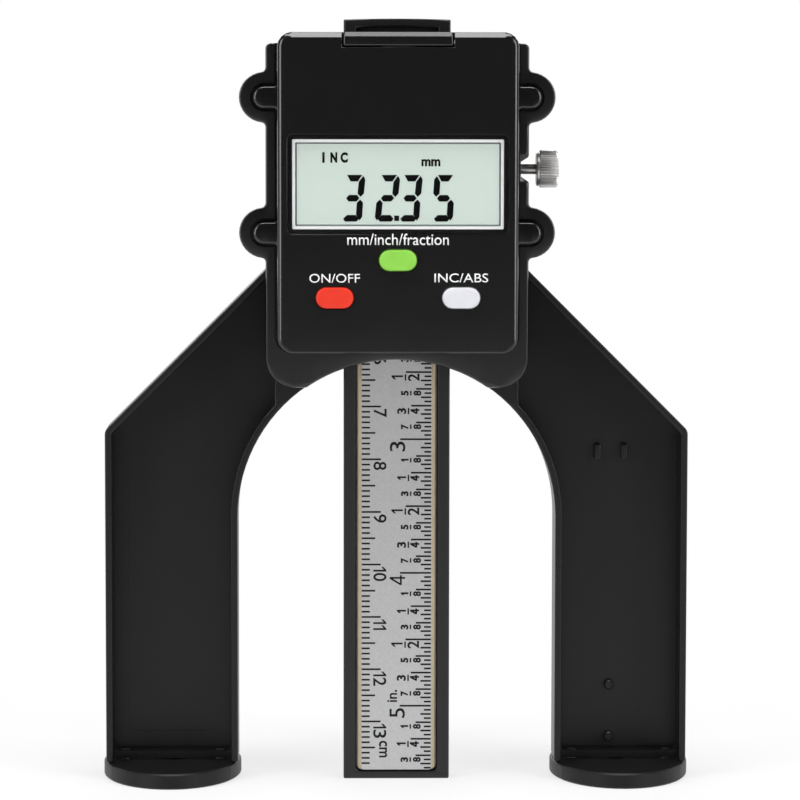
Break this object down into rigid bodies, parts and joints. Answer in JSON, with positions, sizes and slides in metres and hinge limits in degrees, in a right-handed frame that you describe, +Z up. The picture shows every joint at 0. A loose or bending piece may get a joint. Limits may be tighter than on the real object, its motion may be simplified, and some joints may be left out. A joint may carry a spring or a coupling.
{
  "type": "digital depth gauge",
  "caption": "Self-standing depth and height gauge: an arch frame on oval magnetic feet, a display head with buttons and a sliding bar with a rule.",
  "frame": {"origin": "centre of the bar's measuring face, level with the soles at rest", "axes": "+X to the gauge's right seen from the display, -Y towards the reader, +Z up along the bar"},
  "size_m": [0.1116, 0.0387, 0.1437],
  "materials": {
    "black_plastic": "satin black moulded plastic with fine texture",
    "bar_black": "satin black",
    "circuit_strip": "tan glass-epoxy laminate",
    "rule_steel": "matt steel with dark graduations",
    "clear_window": "clear polished plastic",
    "white_plastic": "white",
    "display_glass": "pale green-grey display glass",
    "elastomer": "layered elastomer",
    "button_green": "satin green",
    "button_red": "satin red",
    "button_white": "satin white",
    "board_green": "solder mask",
    "chip_epoxy": "moulded epoxy",
    "zinc_screw": "plated",
    "cell_steel": "plain steel",
    "nickel": "nickel plate",
    "magnet_nickel": "bright nickel plate",
    "brass": "turned"
  },
  "bodies": {
    "gauge_frame": {"bridge_frame": "black_plastic", "carrier_plate": "black_plastic", "front_housing": "black_plastic", "display_window": "clear_window", "lcd_frame": "white_plastic", "lcd_cell": "display_glass", "zebra_connector": "elastomer", "main_board": "board_green", "controller_chip": "chip_epoxy", "switch_units": "chip_epoxy", "switch_power": "chip_epoxy", "switch_datum": "chip_epoxy", "board_screw_1": "zinc_screw", "board_screw_2": "zinc_screw", "board_screw_3": "zinc_screw", "board_screw_4": "zinc_screw", "cell_contact_plus": "nickel", "cell_contact_minus": "nickel", "lock_insert": "brass", "ear_screw_1": "zinc_screw", "ear_screw_2": "zinc_screw", "ear_screw_3": "zinc_screw", "ear_screw_4": "zinc_screw", "left_foot_base": "black_plastic", "right_foot_base": "black_plastic", "left_foot_screw_1": "zinc_screw", "left_foot_screw_2": "zinc_screw", "right_foot_screw_1": "zinc_screw", "right_foot_screw_2": "zinc_screw", "left_front_magnet": "magnet_nickel", "left_rear_magnet": "magnet_nickel", "right_front_magnet": "magnet_nickel", "right_rear_magnet": "magnet_nickel"},
    "depth_bar": {"slider_bar": "bar_black", "grid_scale_strip": "circuit_strip", "steel_rule": "rule_steel"},
    "cell_drawer": {"battery_drawer": "black_plastic", "coin_cell": "cell_steel"},
    "units_key": {"button_units": "button_green"},
    "power_key": {"button_power": "button_red"},
    "datum_key": {"button_datum": "button_white"},
    "lock_shoe": {"pressure_shoe": "brass"},
    "lock_knob": {"lock_screw": "nickel"}
  },
  "joints": [
    {"name": "bar_slide", "type": "slide", "parent": "gauge_frame", "child": "depth_bar", "axis": [0, 0, 1], "range_m": [0, 0.08]},
    {"name": "drawer_slide", "type": "slide", "parent": "gauge_frame", "child": "cell_drawer", "axis": [0, 0, 1], "range_m": [0, 0.024]},
    {"name": "units_press", "type": "slide", "parent": "gauge_frame", "child": "units_key", "axis": [0, 1, 0], "range_m": [0, 0.0005], "stiffness_N_per_m": 2000},
    {"name": "power_press", "type": "slide", "parent": "gauge_frame", "child": "power_key", "axis": [0, 1, 0], "range_m": [0, 0.0005], "stiffness_N_per_m": 2000},
    {"name": "datum_press", "type": "slide", "parent": "gauge_frame", "child": "datum_key", "axis": [0, 1, 0], "range_m": [0, 0.0005], "stiffness_N_per_m": 2000},
    {"name": "shoe_advance", "type": "slide", "parent": "gauge_frame", "child": "lock_shoe", "axis": [-1, 0, 0], "range_m": [-0.000499, 0.000249]},
    {"name": "lock_turn", "type": "hinge", "parent": "lock_shoe", "child": "lock_knob", "pos_m": [0.0286, 0, 0.1156], "axis": [-1, 0, 0], "range_deg": [-360, 180]}
  ],
  "couplings": [
    {"joint": "lock_turn", "follows": "shoe_advance", "rad_per_m": 12566}
  ]
}
